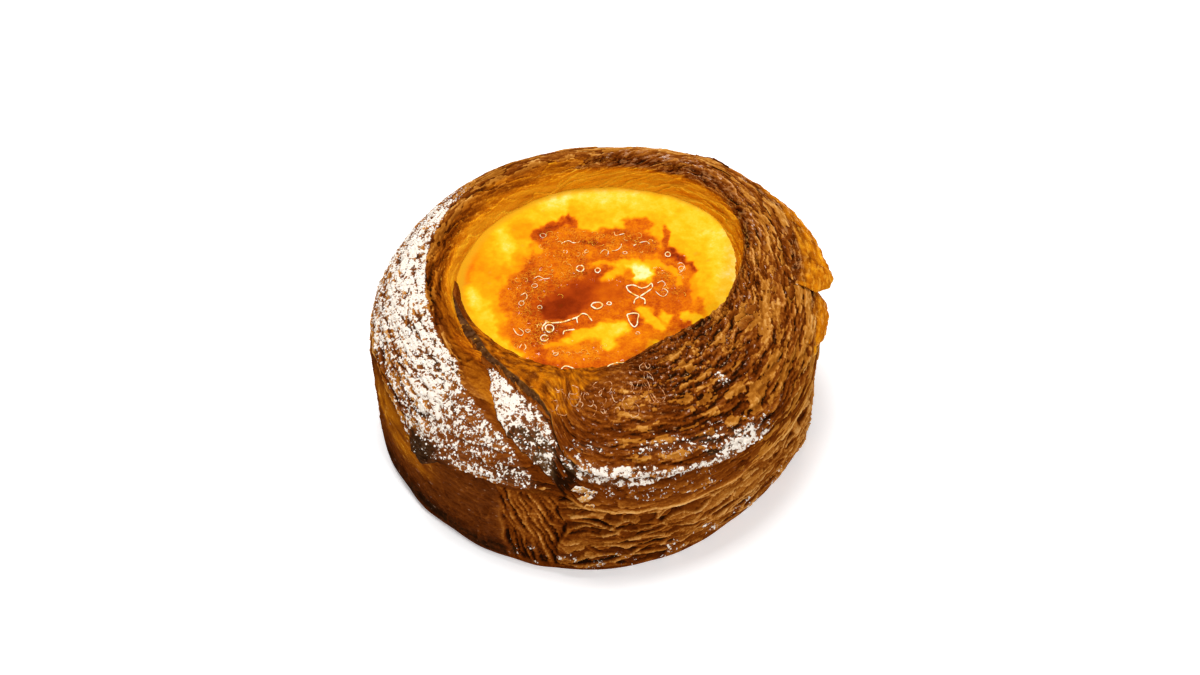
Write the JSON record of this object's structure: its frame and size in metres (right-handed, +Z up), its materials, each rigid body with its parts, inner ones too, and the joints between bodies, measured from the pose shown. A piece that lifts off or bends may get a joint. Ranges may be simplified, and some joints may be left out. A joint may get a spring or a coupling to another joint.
{
  "type": "cheese tart",
  "caption": "Round cheese tart: a wound ring of flaky laminated pastry with a flat base, baked round a recessed caramelised cheese filling.",
  "frame": {"origin": "on the base, on the axis of the tart's round drum", "axes": "+Z up out of the filling, -Y the side seen from the front, +X to the right of it"},
  "size_m": [0.1064, 0.1021, 0.0437],
  "materials": {
    "baked_crust": "flaky baked dough, browned and partly glazed",
    "baked_cheese": "set baked cheese cream, glossy and caramelised"
  },
  "bodies": {
    "root": {"pastry": "baked_crust", "cheese_filling": "baked_cheese"}
  },
  "joints": []
}
